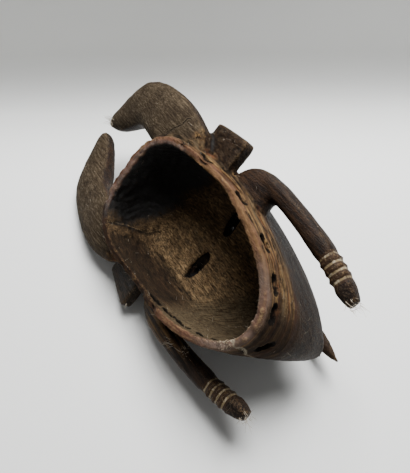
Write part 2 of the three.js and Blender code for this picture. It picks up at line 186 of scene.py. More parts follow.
def linear(hex_colour):
    """An sRGB hex colour as linear red, green and blue."""
    parts = [int(hex_colour[i : i + 2], 16) / 255 for i in (1, 3, 5)]
    return tuple(p / 12.92 if p <= 0.04045 else ((p + 0.055) / 1.055) ** 2.4 for p in parts)


def ramp(low, high, value):
    """0 below low, 1 above high, and smooth between. Low may be the larger of the two."""
    share = np.clip((value - low) / (high - low), 0.0, 1.0)
    return share * share * (3 - 2 * share)


def ripple(points, size):
    """Smooth noise from -1 to 1 at each point, whose lumps are about size mm across."""
    return np.array([noise.noise(p) for p in (points / np.asarray(size)).tolist()])


# Sizes and colours


class CarvingSizes(bpy.types.PropertyGroup):
    """How finely the mask is carved and how worn it is"""

    cell: FloatProperty(
        name="Cell", description="Size of the carved surface's mesh cells, in mm",
        default=1.72, min=1.0, max=6.0)
    calming: IntProperty(
        name="Calming", description="Rounds of smoothing that take the facets away",
        default=34, min=0, max=200)
    crisp_reach: FloatProperty(
        name="Crisp reach", description="How far from a carved edge the surface stays crisp, in mm",
        default=6.0, min=1.0, max=30.0)
    gouge_depth: FloatProperty(
        name="Gouge depth", description="Depth of the gouge marks in the hollow, in mm",
        default=0.42, min=0.0, max=2.0)
    gouge_width: FloatProperty(
        name="Gouge width", description="Width of a gouge mark, in mm", default=6.5, min=1.0)
    gouge_length: FloatProperty(
        name="Gouge length", description="Length of a gouge mark, in mm", default=19.0, min=2.0)
    unevenness: FloatProperty(
        name="Unevenness", description="How far the surface wanders from true, in mm",
        default=0.55, min=0.0, max=3.0)
    chip_depth: FloatProperty(
        name="Chip depth", description="Depth of the chips along the rim, in mm",
        default=2.2, min=0.0, max=6.0)
    fibre_length: FloatProperty(
        name="Fibre length", description="Length of the torn wood fibres at the tips, in mm",
        default=8.0, min=1.0, max=20.0)
    stray_fibres: IntProperty(
        name="Stray fibres", description="How many short fibres stand off the surface",
        default=420, min=0, max=3000)


def colour_property(name, description, hex_colour):
    """A colour that the user may change."""
    return FloatVectorProperty(
        name=name, description=description, subtype="COLOR", default=linear(hex_colour),
        min=0, max=1)


class WoodColours(bpy.types.PropertyGroup):
    """The colours of the wood, its patina and what has rubbed into it"""

    patina_deep: colour_property("Deep patina", "Where the patina is thickest", "#0b0806")
    patina: colour_property("Patina", "Dark handled surface of the outside", "#1f140d")
    patina_light: colour_property("Light patina", "Where the patina is thin", "#352518")
    weathered_dark: colour_property("Dark weathered", "Hollows of the horns' grain", "#231b13")
    weathered: colour_property("Weathered", "Dusty brown wood of the horns' backs", "#382f23")
    weathered_pale: colour_property("Pale weathered", "Dust on the horns' backs", "#54493a")
    rim_dark: colour_property("Dark rim", "Dirt in the rim's grain", "#312114")
    rim: colour_property("Rim", "Red-brown bare wood of the rim", "#54392d")
    rim_pale: colour_property("Pale rim", "Rubbed yellow-brown wood of the rim", "#715b3f")
    mauve: colour_property("Worn chin", "Greyish-pink worn wood of the rim at the chin", "#5d4f47")
    raw_dark: colour_property("Dark grain", "Dark grain of the raw wood outside", "#1c130d")
    raw: colour_property("Raw wood", "Brown wood outside, below the rim", "#473625")
    ochre: colour_property("Ochre wood", "Yellow streaks of the raw wood", "#705736")
    olive: colour_property("Olive wood", "Grey-green smears on the raw wood", "#4f4433")
    raw_red: colour_property("Red wood", "Reddish streaks of the raw wood", "#502e1b")
    hollow_dark: colour_property("Dark hollow", "Shadowed pores of the hollow", "#24180d")
    hollow: colour_property("Hollow", "Brown wood of the hollow's middle", "#6d563c")
    hollow_pale: colour_property("Pale hollow", "Ends of the hollow's rough fibres", "#957c5a")
    hollow_smooth: colour_property("Smooth hollow", "Tan wood by the chin, worn smooth", "#3b3326")
    # This black is the soot of the forehead's crust. It is also the painted shade in the slits,
    # slots and corners and under the ledge, and the dark of the cracks and splits.
    soot_and_shade: colour_property("Soot", "Black crust of the forehead's inside", "#050403")
    chalk: colour_property("Chalk", "Ochre pigment in the grooves of the legs", "#77674b")
    chalk_pale: colour_property("Pale chalk", "Where the pigment lies thick, and flecks", "#a29782")
    fibre_dark: colour_property("Dark fibre", "Torn fibres in their darker stretches", "#6f6454")
    fibre_pale: colour_property("Pale fibre", "Torn fibres in their paler stretches", "#b8ad9b")


class StageSizes(bpy.types.PropertyGroup):
    """The floor, the lights and the camera"""

    floor_colour: colour_property("Floor", "Pale grey floor", "#e6e7e5")
    backdrop_colour: colour_property("Backdrop", "Greyer backdrop behind the mask", "#d6d6d4")
    lamp_power: FloatProperty(
        name="Lamp power", description="Power of the soft light overhead",
        default=40.0, min=0.0, unit="POWER")
    lamp_size: FloatProperty(
        name="Lamp size", description="Width of the soft light overhead",
        default=0.7, min=0.1, unit="LENGTH")
    lamp_place: FloatVectorProperty(
        name="Lamp place", description="How far the lamp is beyond, right of and above the mask",
        default=(0.42, 0.2, 1.05), subtype="TRANSLATION", unit="LENGTH")
    sky: FloatProperty(
        name="Sky", description="Brightness of the light from all round", default=0.17, min=0.0)
    focal_length: FloatProperty(
        name="Focal length", description="Focal length in mm on a 36 mm sensor",
        default=38.05, min=10.0, max=300.0, unit="CAMERA")


# The carved surface


def rim_z(y):
    """The Z of the rim's edge at a height: flat but for the dip at the temples."""
    off = np.abs(y - DIP_MIDDLE_Y) / DIP_REACH
    return np.where(off < 1, -RIM_DIP * 0.5 * (1 + np.cos(np.pi * np.minimum(off, 1))), 0)


def outline_share(x, y, half_width, rise, drop, power_below):
    """How far out a point lies, 1 on the outline, how steeply up or down it is, and whether it
    is above the mouth's widest line."""
    above = y > WIDEST_Y
    height = (y - WIDEST_Y) / np.where(above, rise, drop)
    power = np.where(above, TOP_POWER, power_below)
    out = (np.abs(x / half_width) ** power + np.abs(height) ** power) ** (1 / power)
    steep = np.clip(height / np.maximum(out, 1e-6), -1, 1)
    return out, steep, above


def share_out(q, beside, swell, reach, cut):
    """How far out from the mouth's middle each point lies, 1 on a surface of the wall, and the
    depth at which that surface turns in. At the rim it stands beside the mouth's outline by so
    much, and it swells with depth. Cut is how far it lies short of the shell's depth."""
    x, y, z = q.T
    steep, above = outline_share(x, y, *reach, JAW_POWER)[1:]
    start = SIDE_DEPTH + (np.where(above, TOP_DEPTH, CHIN_DEPTH) - SIDE_DEPTH) * steep**2 - cut
    share = np.sin(np.clip((rim_z(y) - z) / start, 0, 1) * np.pi / 2)
    side, top, chin = swell
    out = outline_share(
        x, y,
        MOUTH_HALF_WIDTH + beside + side * share,
        MOUTH_RISE + beside + top * share,
        MOUTH_DROP + beside + chin * share,
        CHIN_POWER + (JAW_POWER - CHIN_POWER) * share,
    )[0]
    return out, start


def in_hollow(q):
    """True for the points on the hollow's side of the middle of the wall."""
    out, start = share_out(q, RIM_WIDTH / 2, MID_WALL_SWELL, MID_WALL_REACH, WALL / 2)
    below_middle = WIDEST_Y - q[:, 1]
    deepest = FACE_DEPTH + CHIN_FORWARD * ramp(0, SHELL_DROP * 0.8, below_middle) - WALL / 2
    crown = (1 - np.minimum(out, 1) ** FRONT_POWER) ** (1 / FRONT_POWER)
    return (out < 1) & (q[:, 2] > -(start + (deepest - start) * crown))


def on_shell(q):
    """How far out from the middle line a point of the outside lies, 1 on the shell's side."""
    return share_out(q, RIM_WIDTH, SHELL_SWELL, SHELL_REACH, 0.0)[0]


def gouges(along, across, length, width):
    """Staggered rows of shallow scoops: 1 in the middle of each, 0 on the ridges between. A
    sine that is very steep in the row's number starts each row at a place of its own."""
    row = np.floor(across / width)
    row_turn, steepness = 12.9898, 43758.5453
    start = np.modf(np.abs(np.sin(row * row_turn) * steepness))[0]
    u = np.modf(np.abs(along / length + start + 1000))[0]
    v = across / width - row
    return (1 - (2 * v - 1) ** 2) * (1 - (2 * u - 1) ** 4)


def surface_data(mesh):
    """The points of a mesh in the mask's frame, in mm, and its normals there."""
    co = np.empty(len(mesh.vertices) * 3, np.float32)
    mesh.vertices.foreach_get("co", co)
    normal = np.empty_like(co)
    mesh.vertices.foreach_get("normal", normal)
    to_mask = np.array(TO_MASK)
    turn = np.array(TO_MASK.to_3x3().normalized())
    return co.reshape(-1, 3) @ to_mask[:3, :3].T + to_mask[:3, 3], normal.reshape(-1, 3) @ turn.T


def put_points(mesh, q):
    """Moves a mesh's points to places in the mask's frame, in mm."""
    to_row = np.array(TO_ROW)
    co = q @ to_row[:3, :3].T + to_row[:3, 3]
    mesh.vertices.foreach_set("co", co.astype(np.float32).ravel())
    mesh.update()


def edge_ends(mesh):
    """The numbers of the two vertices of each edge."""
    ends = np.empty(len(mesh.edges) * 2, np.int32)
    mesh.edges.foreach_get("vertices", ends)
    return ends.reshape(-1, 2)


def neighbour_mean(values, ends):
    """The mean of a value over each vertex's neighbours."""
    count = np.bincount(ends.ravel(), minlength=len(values))
    sums = np.bincount(ends[:, 0], values[ends[:, 1]], len(values))
    sums += np.bincount(ends[:, 1], values[ends[:, 0]], len(values))
    return sums / np.maximum(count, 1)


def relief(q, normal, ends):
    """How far each point stands proud of its neighbours along its normal: worn edges are positive,
    and corners, which the material darkens with painted shade, are negative."""
    proud = np.zeros(len(q))
    for axis in range(3):
        proud += (q[:, axis] - neighbour_mean(q[:, axis], ends)) * normal[:, axis]
    for _ in range(2):
        proud = 0.5 * proud + 0.5 * neighbour_mean(proud, ends)
    return proud


def merged_solid():
    """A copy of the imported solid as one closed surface, and points along its carved edges."""
    bm = bmesh.new()
    bm.from_mesh(frame["nodes"][SOLID].data)
    bmesh.ops.remove_doubles(bm, verts=bm.verts, dist=1e-5)
    crisp = []
    for edge in bm.edges:
        if len(edge.link_faces) == 2 and edge.calc_face_angle() > math.radians(CRISP_ANGLE):
            a, b = (v.co for v in edge.verts)
            steps = max(1, int((b - a).length / (CRISP_STEP * MM)))
            crisp += [a.lerp(b, (i + 0.5) / steps) for i in range(steps)]
    return bm, crisp


def drop_specks(mesh):
    """Deletes the specks that a remesh leaves beside the one large surface."""
    bm = bmesh.new()
    bm.from_mesh(mesh)
    parts, seen = [], set()
    for start in bm.verts:
        if start in seen:
            continue
        seen.add(start)
        part, front = [start], [start]
        while front:
            vert = front.pop()
            fresh = [o for o in (e.other_vert(vert) for e in vert.link_edges) if o not in seen]
            seen.update(fresh)
            part += fresh
            front += fresh
        parts.append(part)
    parts.sort(key=len)
    bmesh.ops.delete(bm, geom=[vert for part in parts[:-1] for vert in part], context="VERTS")
    bm.to_mesh(mesh)
    bm.free()


def modified(obj, kind, **settings):
    """Adds a modifier with its settings and applies it."""
    modifier = obj.modifiers.new(kind.lower(), kind)
    for name, value in settings.items():
        setattr(modifier, name, value)
    with bpy.context.temp_override(object=obj, active_object=obj, selected_objects=[obj]):
        bpy.ops.object.modifier_apply(modifier=modifier.name)


def finished(name, mesh):
    """A finished piece, which rides on the one body."""
    obj = bpy.data.objects.new(name, mesh)
    bpy.context.scene.collection.objects.link(obj)
    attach(obj, "root")
    return obj


def leg_line_x(y):
    """The X of the middle of a leg's shaft at a height."""
    way = np.clip((LEG_TOP_Y - y) / (LEG_TOP_Y - LEG_TIP_Y), 0, 1)
    return LEG_TOP_X + (LEG_TIP_X - LEG_TOP_X) * way + LEG_BOW * np.sin(np.pi * way)


def line_offset(q, facing, points):
    """How far each point lies to one side of a line of points or the other, in mm. It is zero
    on the line, and large past its ends and on the far side of the wall."""
    nearest = np.full(len(q), FAR)
    for a, b in zip(np.array(points[:-1], float), np.array(points[1:], float)):
        way = (b - a) / np.linalg.norm(b - a)
        along = np.clip((q - a) @ way, 0, np.linalg.norm(b - a))
        away = q - a - along[:, None] * way
        far = np.linalg.norm(away, axis=1)
        side = np.sign(np.einsum("ij,ij->i", np.cross(way, facing), away))
        closer = far < np.abs(nearest)
        nearest[closer] = (far * np.where(side == 0, 1, side))[closer]
    return nearest


def spots(q, places, reach):
    """1 at the places, falling to 0 at the reach."""
    away = np.min([np.linalg.norm(q - np.array(place), axis=1) for place in places], axis=0)
    return ramp(reach, 0, away)


def mid_wall(degrees):
    """The X and Y of the middle of the wall, at so many degrees from the chin."""
    turn = math.radians(degrees)
    side, height = math.sin(turn), -math.cos(turn)
    power = 2 / (TOP_POWER if height > 0 else CHIN_POWER)
    reach = (MOUTH_RISE if height > 0 else MOUTH_DROP) + WALL / 2
    return Vector((
        math.copysign(abs(side) ** power, side) * (MOUTH_HALF_WIDTH + WALL / 2),
        WIDEST_Y + math.copysign(abs(height) ** power, height) * reach,
    ))


def rimwise(q):
    """Each point's place along the rim from the forehead, below it, and out across it, in mm."""
    x, y, z = q.T
    line = np.array([mid_wall(degrees) for degrees in range(-180, 181, 3)])
    steps = np.linalg.norm(np.diff(line, axis=0), axis=1)
    turns = np.arctan2(line[:, 0], WIDEST_Y - line[:, 1])
    along = np.interp(np.arctan2(x, WIDEST_Y - y), turns, np.append(0, np.cumsum(steps)))
    return np.column_stack((along, rim_z(y) - z, on_shell(q) * (MOUTH_HALF_WIDTH + RIM_WIDTH)))


def in_slots(q):
    """1 on the walls of the cord slots and at their mouths."""
    nearest = np.full(len(q), FAR)
    for degrees, z, slant in SLOTS:
        here = mid_wall(degrees)
        way = (mid_wall(degrees + 1) - mid_wall(degrees - 1)).normalized()
        along = np.array([way.x, way.y, slant]) / math.hypot(1, slant)
        through = np.array([way.y, -way.x, 0])
        away = q - np.array([here.x, here.y, z])
        past = np.maximum(np.abs(away @ along) - SLOT_LENGTH * 0.4, 0)
        across = np.abs(away @ np.cross(along, through))
        off = np.hypot(past, across) + 10 * (np.abs(away @ through) > 2 * WALL)
        nearest = np.minimum(nearest, off)
    # The slots' walls and mouths take painted shade.
    return ramp(SLOT_HEIGHT * 0.6, SLOT_HEIGHT * 0.35, nearest)


def zones(q, normal):
    """What each point belongs to, as named fields that the material reads."""
    x, y, z = q.T
    hollow = in_hollow(q).astype(float)
    off_shell = ramp(1.02, 1.05, on_shell(q)) * (1 - hollow)
    flange = off_shell * (np.abs(y) < FLANGE_HALF_HEIGHT)
    flange = flange * (np.abs(x) > FLANGE_ROOT_X) * (z < FLANGE_BACK_Z)
    limb = off_shell * (1 - flange)
    horn = limb * ramp(*HORN_HEIGHTS, y) * ramp(*HORN_DEPTHS, z)
    leg = limb * ramp(*LEG_HEIGHTS, y) * (np.abs(x) > LEG_ROOT_X) * (z > LEG_FRONT_Z)
    groove = (GROOVE_Y - y - LEG_SLANT * (np.abs(x) - leg_line_x(y))) / GROOVE_PITCH
    eye_height = np.where(hollow > 0, EYE_HALF_HEIGHT_INSIDE, EYE_HALF_HEIGHT_OUTSIDE)
    slit = np.hypot((np.abs(x) - EYE_X) / EYE_HALF_WIDTH, (y - EYE_Y) / eye_height)
    return {
        "hollow": hollow,
        "horn": horn,
        "flange": flange,
        "leg": leg,
        "below_rim": rim_z(y) - z,
        "rimwise": rimwise(q),
        "groove": groove,
        "facing": normal[:, 2],
        # Painted shade goes in the eye slits and in the cord slots.
        "slit": np.maximum(ramp(1.15, 0.9, slit) * (z < EYE_TOP_Z), in_slots(q)),
        "horn_crack": line_offset(q, normal, HORN_CRACK),
        "chin_crack": line_offset(q, normal, CHIN_CRACK),
        "ledge": line_offset(q, normal, LEDGE),
        "flecks": spots(q, [FLECKS], 11.0),
        "lumps": spots(q, CHIN_LUMPS, 4.0),
    }


def carve_marks(q, zone, sizes):
    """How far each point is moved along its normal, in mm."""
    x, y, z = q.T
    hollow, depth = zone["hollow"], zone["below_rim"]
    # The whole surface wanders a little from true
    wander = ripple(q, (34, 46, 34)) * 0.65 + ripple(q + 70, (13, 22, 13)) * 0.35
    move = wander * sizes.unevenness * (1 - 0.4 * hollow)
    # Gouge marks and rough fibre in the hollow, and knife marks outside
    bend = ripple(q + 200, (40, 40, 40)) * 5
    scoops = gouges(y + 0.35 * x + bend, x + 0.8 * z + bend, sizes.gouge_length, sizes.gouge_width)
    rough_hollow = hollow * (0.35 + 0.65 * ramp(-75, -45, y)) * ramp(2, 9, depth)
    move -= scoops * sizes.gouge_depth * rough_hollow
    move += ripple(q + 90, (4, 8, 4)) * 0.3 * rough_hollow * (1 - zone["slit"])
    move += ripple(q + 55, (5, 6, 5)) * 0.9 * hollow * ramp(10, 30, y)
    shaved = (1 - hollow) * (1 - zone["horn"] * 0.5) * ramp(3, 8, depth)
    move -= gouges(y + bend, x - z + bend, 34, 9) * sizes.gouge_depth * 0.45 * shaved
    # A chipped and uneven rim
    near_rim = ramp(6, 0.5, depth)
    chips = ramp(0.15, 0.5, ripple(q + 31, (6, 10, 6)))
    move -= chips * near_rim * sizes.chip_depth * 0.35
    move += ripple(q + 17, (3, 3, 3)) * 0.5 * near_rim
    move -= spots(q, RIM_CHIPS, 7.0) * sizes.chip_depth
    # Lumps and flecks, raised grain in the raw band, and cracks
    flecked = ramp(0.1, 0.5, ripple(q + 5, (2.5, 2.5, 2.5)))
    move += zone["lumps"] * 1.6 + zone["flecks"] * flecked * 0.9
    streaks = ripple(q + 12, (5, 34, 5))
    band = (1 - hollow) * ramp(34, 18, depth) * ramp(1, 5, depth) * (1 - zone["horn"] - zone["leg"])
    move += streaks * 0.6 * np.clip(band, 0, 1)
    for crack, deep in (("horn_crack", 0.9), ("chin_crack", 1.3), ("ledge", 1.0)):
        move -= ramp(2.4, 0.3, np.abs(zone[crack])) * deep
    return move


class MASK_OT_carve(bpy.types.Operator):
    """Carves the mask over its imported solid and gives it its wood"""

    bl_idname = "mask.carve"
    bl_label = "Carve the mask"

    def execute(self, context):
        sizes = context.scene.mask_carving
        bm, crisp = merged_solid()
        mesh = bpy.data.meshes.new("carved_mask")
        bm.to_mesh(mesh)
        bm.free()
        obj = finished("carved_mask", mesh)
        modified(obj, "REMESH", mode="VOXEL", voxel_size=sizes.cell * MM, use_smooth_shade=True)
        drop_specks(obj.data)
        self.calm(obj, crisp, sizes)
        q, normal = surface_data(obj.data)
        zone = zones(q, normal)
        q = q + normal * carve_marks(q, zone, sizes)[:, None]
        put_points(obj.data, q)
        q, normal = surface_data(obj.data)
        zone["proud"] = relief(q, normal, edge_ends(obj.data))
        for name, values in zone.items():
            kind, key = ("FLOAT", "value") if values.ndim == 1 else ("FLOAT_VECTOR", "vector")
            field = obj.data.attributes.new(name, kind, "POINT")
            field.data.foreach_set(key, values.astype(np.float32).ravel())
        obj.data.materials.append(OldCarvedWood(context.scene.mask_wood).assembled())
        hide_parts(SOLID)
        return {"FINISHED"}

    def calm(self, obj, crisp, sizes):
        """Smooths the facets away, but not the carved edges."""
        tree = kdtree.KDTree(len(crisp))
        for i, point in enumerate(crisp):
            tree.insert(point, i)
        tree.balance()
        away = np.array([tree.find(v.co)[2] for v in obj.data.vertices]) / MM
        group = obj.vertex_groups.new(name="calm")
        level_count = 10
        levels = np.round(ramp(0.5, sizes.crisp_reach, away) * level_count).astype(int)
        for level in range(1, level_count + 1):
            group.add(np.flatnonzero(levels == level).tolist(), level / level_count, "REPLACE")
        modified(obj, "SMOOTH", factor=0.5, iterations=sizes.calming, vertex_group="calm")
        modified(obj, "SMOOTH", factor=0.5, iterations=1)
        obj.vertex_groups.clear()


# The wood


def rgba(colour):
    """A colour with its alpha, as nodes take it. A socket stays as it is."""
    return colour if isinstance(colour, bpy.types.NodeSocket) else (*colour, 1.0)


class Finish:
    """A new material, put together from patterns in mm and colours laid over each other."""

    def __init__(self, name):
        self.material = bpy.data.materials.new(name)
        self.material.use_nodes = True
        self.tree = self.material.node_tree
        self.tree.nodes.clear()

    def add(self, kind, values=None, **settings):
        """Adds a node with its settings. A value is set on its input, or linked if it is a
        socket."""
        made = self.tree.nodes.new("ShaderNode" + kind)
        for name, value in settings.items():
            setattr(made, name, value)
        for key, value in (values or {}).items():
            if isinstance(value, bpy.types.NodeSocket):
                self.tree.links.new(value, made.inputs[key])
            else:
                made.inputs[key].default_value = value
        return made

    def object_place(self):
        """Each point's place on its object, in metres."""
        return self.add("TexCoord").outputs["Object"]

    def mask_place(self):
        """Each point's place in the mask's frame, in mm."""
        turned = self.add("Mapping", {
            "Vector": self.object_place(),
            "Rotation": TO_MASK.to_3x3().normalized().to_euler(),
            "Scale": (1 / MM,) * 3,
            "Location": TO_MASK.translation,
        })
        return turned.outputs["Vector"]

    def fields(self, *names):
        """What the carving says of each point, by the names that zones gives."""
        return [self.add("Attribute", attribute_name=name).outputs["Fac"] for name in names]

    def pattern(self, place, size, detail=3.0, roughness=0.55, twist=0.0, shift=0.0, along=None):
        """Noise from 0 to 1 whose lumps measure size mm along X, Y and Z of the place. With
        "along", that direction takes Y's place."""
        if along:
            turn = Vector(along).rotation_difference(Vector((0, 1, 0))).to_euler()
            place = self.add("Mapping", {"Vector": place, "Rotation": turn}).outputs["Vector"]
        scaled = self.add("Mapping", {
            "Vector": place,
            "Scale": tuple(1 / s for s in size),
            "Location": (shift, shift, shift),
        })
        lumps = self.add("TexNoise", {
            "Vector": scaled.outputs["Vector"],
            "Scale": 1.0,
            "Detail": detail,
            "Roughness": roughness,
            "Distortion": twist,
        })
        return lumps.outputs["Fac"]

    def plus(self, value, *parts):
        """A value with others added to it, each times its weight."""
        for weight, part in parts:
            values = {0: part, 1: weight, 2: value}
            value = self.add("Math", values, operation="MULTIPLY_ADD").outputs[0]
        return value

    def product(self, value, *others):
        """All the values multiplied."""
        for other in others:
            value = self.add("Math", {0: value, 1: other}, operation="MULTIPLY").outputs[0]
        return value

    def largest(self, value, *others):
        """The largest of the values."""
        for other in others:
            value = self.add("Math", {0: value, 1: other}, operation="MAXIMUM").outputs[0]
        return value

    def all_but(self, value):
        """What is left of 1."""
        return self.plus(1.0, (-1.0, value))

    def apart(self, value, other):
        """How far apart two values are."""
        difference = self.add("Math", {0: value, 1: other}, operation="SUBTRACT").outputs[0]
        return self.add("Math", {0: difference}, operation="ABSOLUTE").outputs[0]

    def step(self, value, low, high):
        """0 at low and 1 at high, smooth between. Low may be the larger of the two."""
        values = {"Value": value, "From Min": low, "From Max": high}
        return self.add("MapRange", values, interpolation_type="SMOOTHSTEP").outputs["Result"]

    def over(self, under, top, *shares):
        """A colour laid over another, as thickly as the product of the shares."""
        values = {0: self.product(*shares), 6: rgba(under), 7: rgba(top)}
        return self.add("Mix", values, data_type="RGBA").outputs[2]

    def grain(self, parts, *stops):
        """Colours that run through the stops as patterns do that are added by weight. Each stop
        is a place from 0 to 1 and a colour."""
        value = self.step(self.plus(0.0, *parts), *NOISE_RANGE)
        made = self.add("ValToRGB", {"Fac": value})
        elements = made.color_ramp.elements
        for element, (place, colour) in ((elements[0], stops[0]), (elements[1], stops[-1])):
            element.position = place
            element.color = rgba(colour)
        for place, colour in stops[1:-1]:
            elements.new(place).color = rgba(colour)
        return made.outputs["Color"]

    def surfaced(self, values):
        """The material, once its shader has these values."""
        surface = self.add("BsdfPrincipled", values)
        self.add("OutputMaterial", {"Surface": surface.outputs["BSDF"]})
        return self.material


class OldCarvedWood(Finish):
    """Dense tropical hardwood, cut with adze and knife, handled and smoked for decades: the
    outside has a near-black patina with a low sheen, the rim and the band below it are rubbed
    bare, the hollow is dull brown, and its forehead is crusted black."""

    def __init__(self, colours):
        super().__init__("old_carved_wood")
        self.colours = colours
        place = self.mask_place()
        self.draw_patterns(place)
        self.mark_parts(place)
        self.mark_edges()

    def draw_patterns(self, place):
        """The patterns of the wood, and those that run round the rim, where it is worn and split
        along its edge."""
        # Grain runs along the block from chin to horns: vessels about half a millimetre wide
        # and ten to twenty long, drawn a little coarser so that they show.
        self.fibre = self.pattern(place, (1.3, 18, 1.3), detail=4, roughness=0.66)
        self.streak = self.pattern(place, (3.6, 42, 3.6), twist=0.2, shift=5)
        self.blotch = self.pattern(place, (20, 28, 20), detail=4, shift=40)
        self.patch = self.pattern(place, (9, 13, 9), shift=61)
        self.speck = self.pattern(place, (2.2, 3.2, 2.2), roughness=0.7, shift=11)
        self.grit = self.pattern(place, (1.1, 1.6, 1.1), detail=2, roughness=0.8, shift=17)
        self.stubble = self.pattern(
            place, (1.2, 6.5, 1.3), detail=2, roughness=0.6, twist=1.1, shift=27)
        self.scuffs = self.pattern(
            place, (1.3, 26, 1.1), roughness=0.6, shift=3, along=(0.6, -0.53, -0.6))
        rimwise = self.add("Attribute", attribute_name="rimwise").outputs["Vector"]
        self.rim_fibre = self.pattern(rimwise, (15, 1.3, 1.3), detail=4, roughness=0.66)
        self.rim_streak = self.pattern(rimwise, (44, 3.0, 3.4), twist=0.3, shift=4)
        self.rim_figure = self.pattern(rimwise, (75, 8, 9), twist=0.4, shift=15)
        self.rim_split = self.pattern(rimwise, (34, 2.6, 3.2), detail=2, twist=0.5, shift=33)

    def mark_parts(self, place):
        """Where each point is, and what it belongs to."""
        parts = self.add("SeparateXYZ", {0: place})
        self.x, self.y, self.z = (parts.outputs[axis] for axis in "XYZ")
        self.below, self.hollow, self.leg = self.fields("below_rim", "hollow", "leg")
        horn, self.flange, facing = self.fields("horn", "flange", "facing")
        back_face = self.step(self.plus(facing, (0.4, self.speck)), 0.3, 1.1)
        self.dry_back = self.product(horn, back_face)
        self.bare_part = self.product(
            *(self.all_but(part) for part in (self.hollow, horn, self.flange, self.leg)))

    def mark_edges(self):
        """The raw band, the crust, the rim and its splits, all with ragged edges."""
        # The band's lower edge drops towards the chin
        edge = self.plus(
            self.below, (26.0, self.rim_figure), (16.0, self.rim_streak),
            (-12.0, self.step(self.y, -105.0, -160.0)))
        self.band = self.product(
            self.step(edge, 56.0, 44.0), self.bare_part, self.step(self.y, 62.0, 30.0))
        self.smoke = self.plus(self.y, (0.33, self.x), (16.0, self.streak), (26.0, self.blotch))
        self.crust = self.step(self.smoke, 40.0, 56.0)
        worn_edge = self.plus(self.below, (2.5, self.speck), (7.0, self.patch))
        outer_rim = self.product(self.step(worn_edge, 12.0, 6.0), self.bare_part)
        inner_rim = self.product(self.step(worn_edge, 7.6, 5.4), self.hollow)
        self.rim = self.plus(outer_rim, (1.0, inner_rim))
        # Most splits are up on the right
        self.split = self.product(
            self.step(self.apart(self.rim_split, 0.5), 0.035, 0.012),
            self.largest(self.band, outer_rim),
            self.plus(0.4, (0.6, self.step(self.x, 20.0, 45.0))),
            self.step(self.patch, 0.42, 0.52),
            self.step(self.below, 2.0, 4.0))

    def patina(self):
        """The dark outside, thinner in fine streaks, with dry and dusty backs on the horns."""
        c = self.colours
        patina = self.grain(
            [(0.45, self.fibre), (0.3, self.streak), (0.25, self.grit)],
            (0.0, c.patina_deep), (0.45, c.patina), (1.0, c.patina_light))
        patina = self.over(patina, c.patina_deep, self.step(self.blotch, 0.45, 0.7), 0.6)
        leg_tip = self.step(self.y, -146.0, -160.0)
        scuffed = self.step(self.grit, 0.54, 0.64)
        patina = self.over(patina, c.weathered_pale, leg_tip, scuffed, 0.35)
        dusty = self.grain(
            [(0.25, self.stubble), (0.15, self.grit), (0.6, self.fibre)],
            (0.0, c.weathered_dark), (0.5, c.weathered), (1.0, c.weathered_pale))
        dusty = self.over(dusty, c.weathered_dark, self.step(self.patch, 0.45, 0.62), 0.5)
        colour = self.over(patina, dusty, self.dry_back)
        return self.over(colour, dusty, self.flange, self.step(self.fibre, 0.4, 0.6), 0.35)

    def with_raw_wood(self, colour):
        """Raw wood at the left leg's root and in the band below the rim: brown, with yellow,
        red and grey-green streaks, and dark under the chin."""
        c = self.colours
        root = self.grain(
            [(0.4, self.fibre), (0.45, self.streak), (0.15, self.grit)],
            (0.0, c.raw_dark), (0.5, c.raw), (1.0, c.ochre))
        left_root = self.product(
            self.leg, self.step(self.x, -45.0, -60.0), self.step(self.y, -120.0, -92.0))
        colour = self.over(colour, root, left_root, self.step(self.streak, 0.4, 0.6), 0.8)
        raw = self.grain(
            [(0.35, self.rim_fibre), (0.5, self.rim_streak), (0.15, self.grit)],
            (0.0, c.raw_dark), (0.3, c.raw), (0.6, c.raw), (0.85, c.ochre), (1.0, c.rim_pale))
        raw = self.over(raw, c.raw_red, self.step(self.rim_figure, 0.52, 0.62), 0.7)
        raw = self.over(raw, c.olive, self.step(self.rim_figure, 0.46, 0.36), 0.6)
        raw = self.over(raw, c.raw_dark, self.step(self.patch, 0.5, 0.64), 0.45)
        under_chin = self.product(
            self.step(self.y, -134.0, -144.0),
            self.step(self.z, -4.0, -9.0),
            self.step(self.plus(self.x, (12.0, self.speck)), 34.0, 22.0))
        raw = self.over(raw, c.raw_dark, under_chin, 0.75)
        return self.over(colour, raw, self.band, 0.93)

    def with_hollow(self, colour):
        """The hollow's rough brown fibres, worn smooth and greyer by the chin with long scuffs, a
        little red and darkened with painted shade on the left wall, and crusted black under the
        forehead, with painted glints on the crust."""
        c = self.colours
        inner = self.grain(
            [(0.55, self.stubble), (0.2, self.grit), (0.25, self.fibre)],
            (0.0, c.hollow_dark), (0.3, c.olive), (0.68, c.hollow), (1.0, c.hollow_pale))
        inner = self.over(inner, c.hollow_dark, self.step(self.blotch, 0.46, 0.66), 0.4)
        inner = self.over(inner, c.hollow_dark, self.step(self.patch, 0.5, 0.66), 0.3)
        worn = self.grain(
            [(0.7, self.scuffs), (0.15, self.fibre), (0.15, self.grit)],
            (0.0, c.hollow_dark), (0.45, c.hollow_smooth), (1.0, c.olive))
        chinwards = self.plus(self.y, (0.62, self.x), (26.0, self.blotch))
        inner = self.over(inner, worn, self.step(chinwards, -62.0, -92.0), 0.9)
        # The left wall is stained a little red and darkened with painted shade, down to black.
        reddish = self.grain(
            [(0.5, self.streak), (0.3, self.fibre), (0.2, self.grit)],
            (0.0, c.soot_and_shade), (0.85, c.raw_dark), (1.0, c.rim_dark))
        left_wall = self.product(
            self.step(self.plus(self.x, (14.0, self.streak)), -34.0, -48.0),
            self.step(self.y, -78.0, -50.0))
        inner = self.over(inner, reddish, left_wall, 0.92)
        inner = self.over(inner, c.hollow_dark, self.step(self.smoke, 20.0, 52.0), 0.6)
